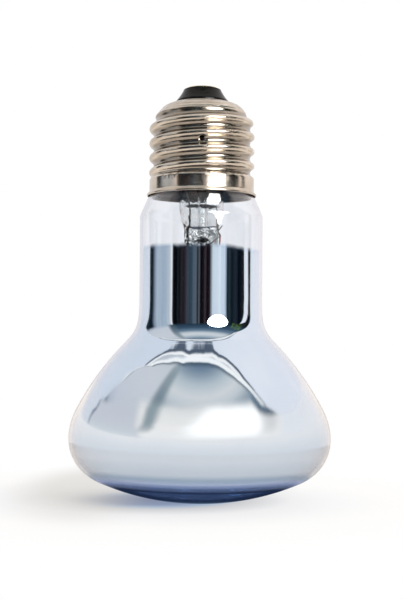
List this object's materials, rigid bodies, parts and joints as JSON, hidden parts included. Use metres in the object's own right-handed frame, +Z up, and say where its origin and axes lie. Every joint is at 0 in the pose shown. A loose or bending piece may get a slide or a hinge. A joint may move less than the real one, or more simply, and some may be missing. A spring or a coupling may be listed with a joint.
{
  "type": "reptile daylight bulb",
  "caption": "Mirrored reflector bulb of pale blue glass with a screw cap, a clear domed face and a visible glass stem with lead wires and filament.",
  "frame": {"origin": "lowest point of the domed glass face, on the lamp's axis", "axes": "+Z up the lamp's axis from the face to the cap contact, -Y to the front as pictured"},
  "size_m": [0.0644, 0.0642, 0.1023],
  "materials": {
    "blue_glass": "clear pale blue blown glass",
    "stem_glass": "clear",
    "mirror_film": "evaporated aluminium",
    "nickel": "bright nickel plate on rolled brass",
    "black_glass": "glossy moulded glass",
    "contact_brass": "stamped",
    "solder": "dull tin solder",
    "cement": "baked cement",
    "nickel_wire": "drawn nickel",
    "copper_wire": "copper clad",
    "molybdenum_wire": "drawn",
    "tungsten": "grey coiled wire"
  },
  "bodies": {
    "root": {"glass_envelope": "blue_glass", "mirror_coating": "mirror_film", "screw_shell": "nickel", "insulator": "black_glass", "contact_plate": "contact_brass", "contact_solder": "solder", "shell_solder": "solder", "cap_cement": "cement", "stem_flare": "stem_glass", "exhaust_tube": "stem_glass", "lead_outer_contact": "nickel_wire", "lead_outer_shell": "nickel_wire", "lead_seal_left": "copper_wire", "lead_seal_right": "copper_wire", "lead_inner_left": "nickel_wire", "lead_inner_right": "nickel_wire", "support_wire_1": "molybdenum_wire", "support_wire_2": "molybdenum_wire", "support_wire_3": "molybdenum_wire", "tie_wire": "molybdenum_wire", "filament": "tungsten"}
  },
  "joints": []
}
